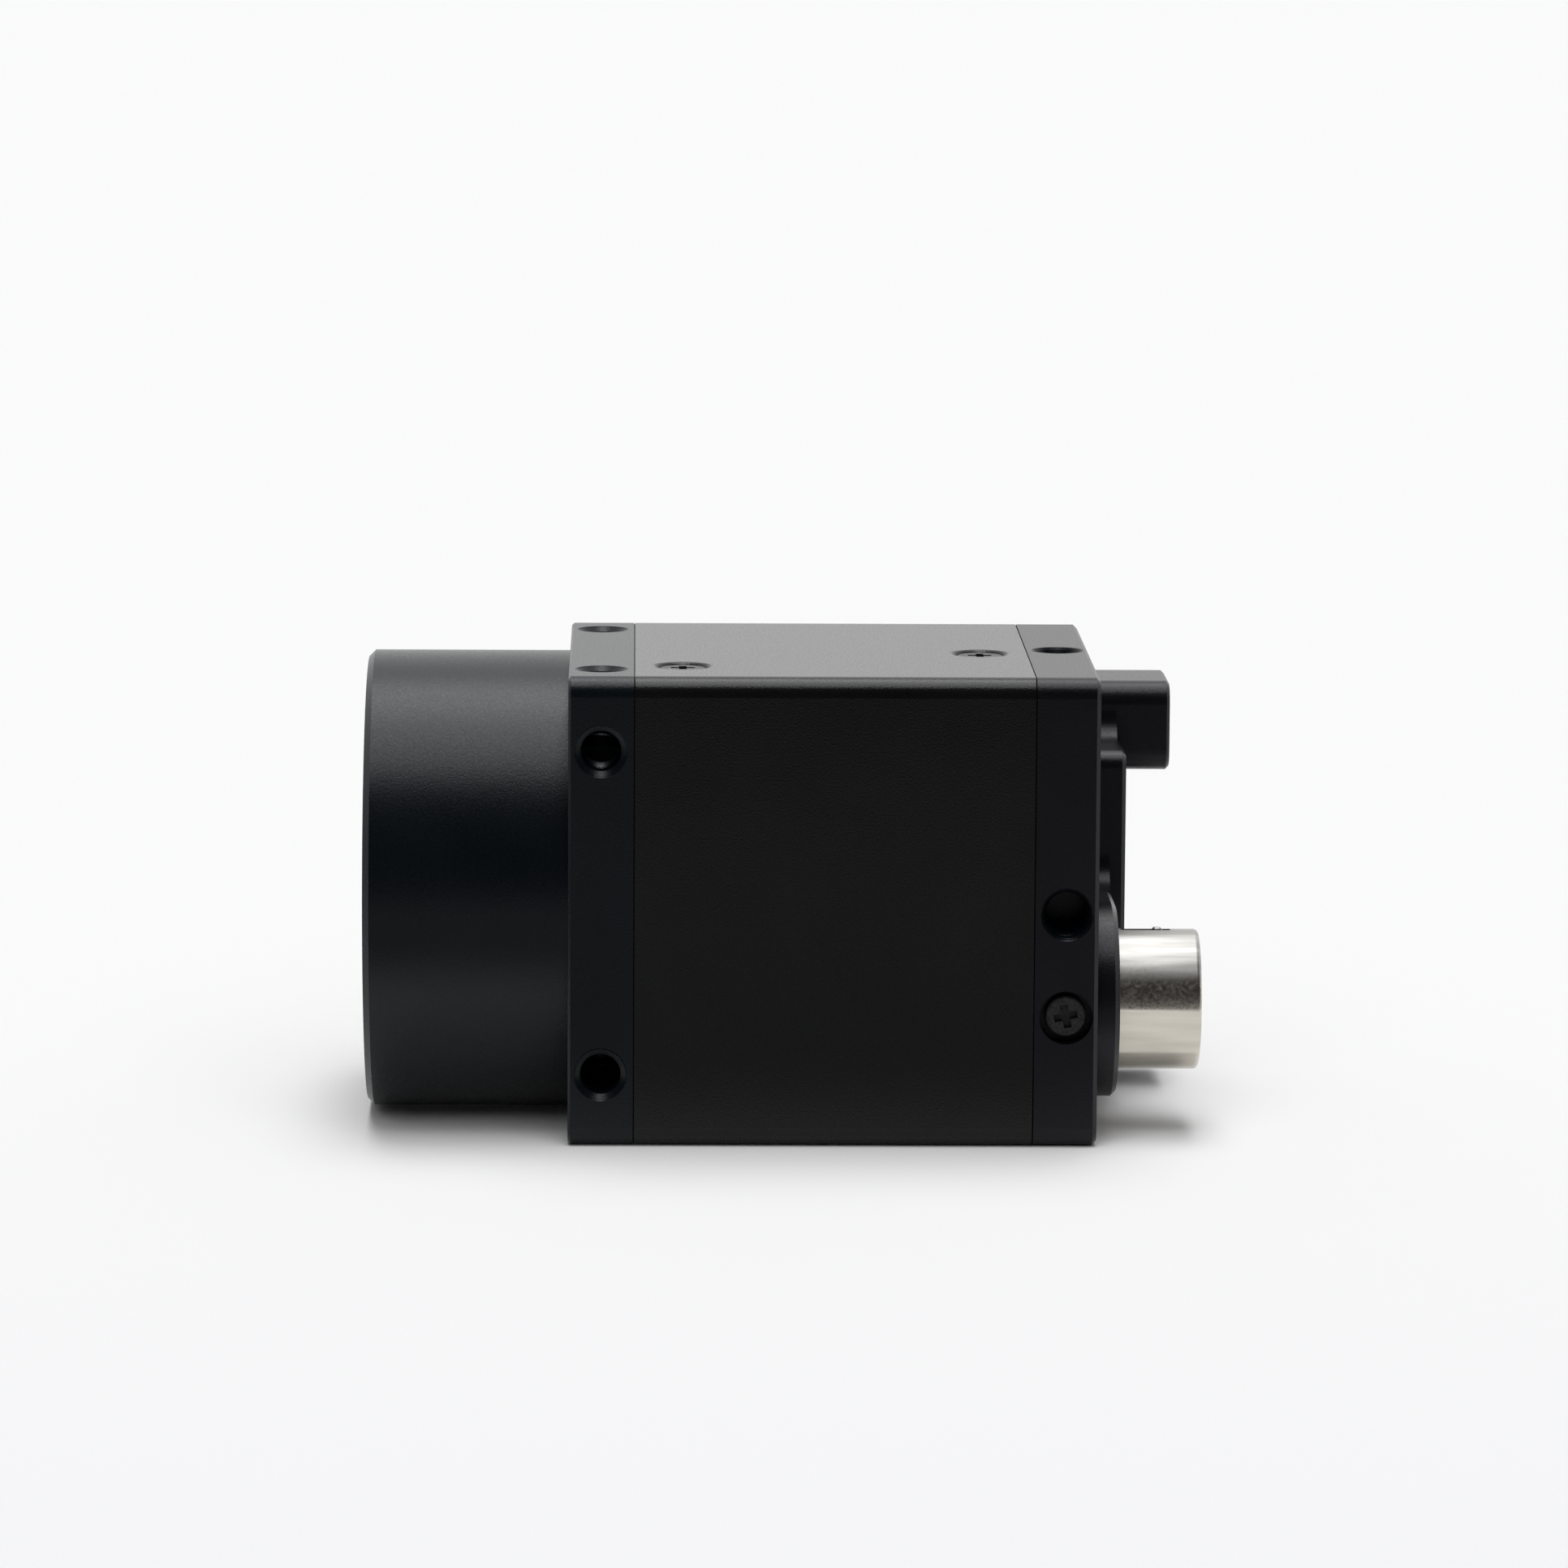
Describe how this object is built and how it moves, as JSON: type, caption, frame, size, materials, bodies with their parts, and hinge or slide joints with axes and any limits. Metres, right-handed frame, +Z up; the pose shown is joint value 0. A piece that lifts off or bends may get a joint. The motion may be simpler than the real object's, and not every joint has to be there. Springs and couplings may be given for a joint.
{
  "type": "machine vision camera",
  "caption": "Small square industrial camera with a round lens barrel in front, side mounting holes, and round and modular connectors at the back.",
  "frame": {"origin": "centre of the lens flange plane on the optical axis", "axes": "+X from the lens to the connectors along the optical axis, +Z up, -Y the side that faces the picture's camera"},
  "size_m": [0.0517, 0.029, 0.029],
  "materials": {
    "black_aluminium": "bead-blasted and black anodised",
    "nickel": "satin nickel plate with handling marks",
    "black_steel": "blackened steel",
    "spring_gold": "gold-plated contact",
    "standoff_brass": "plain brass",
    "board_green": "green circuit board with solder mask",
    "chip_black": "black moulding compound",
    "connector_black": "black moulded plastic",
    "port_steel": "tinned sheet steel",
    "ceramic": "fired ceramic",
    "silicon": "polished silicon die",
    "clear_glass": "coated cover glass",
    "filter_glass": "infrared-cut coated glass",
    "grey_rubber": "silicone rubber",
    "thermal_grey": "soft thermal pad",
    "bare_aluminium": "bare bent sheet",
    "clear_plastic": "clear moulded light pipe",
    "led_white": "white lamp package",
    "coil_grey": "ferrite"
  },
  "bodies": {
    "root": {"front_housing": "black_aluminium", "main_cover": "black_aluminium", "rear_housing": "black_aluminium", "cover_screws": "black_steel", "connector_lock_screw": "black_steel", "filter_gasket": "grey_rubber", "infrared_filter": "filter_glass", "filter_retaining_ring": "black_aluminium", "sensor_package": "ceramic", "sensor_die": "silicon", "sensor_cover_glass": "clear_glass", "sensor_board": "board_green", "processor_board": "board_green", "interface_board": "board_green", "front_standoffs": "standoff_brass", "rear_standoffs": "standoff_brass", "board_screws": "black_steel", "processor_chip": "chip_black", "thermal_pad": "thermal_grey", "sensor_link_connector": "connector_black", "interface_link_connector": "connector_black", "memory_chips": "chip_black", "power_coils": "coil_grey", "line_transformer": "chip_black", "status_led": "led_white", "heat_spreader": "bare_aluminium", "light_pipe": "clear_plastic", "data_port_shield": "port_steel", "data_port_housing": "connector_black", "data_port_contacts": "spring_gold", "round_connector_shell": "nickel", "round_connector_gasket": "grey_rubber", "round_connector_insert": "connector_black", "round_connector_pins": "spring_gold"}
  },
  "joints": []
}
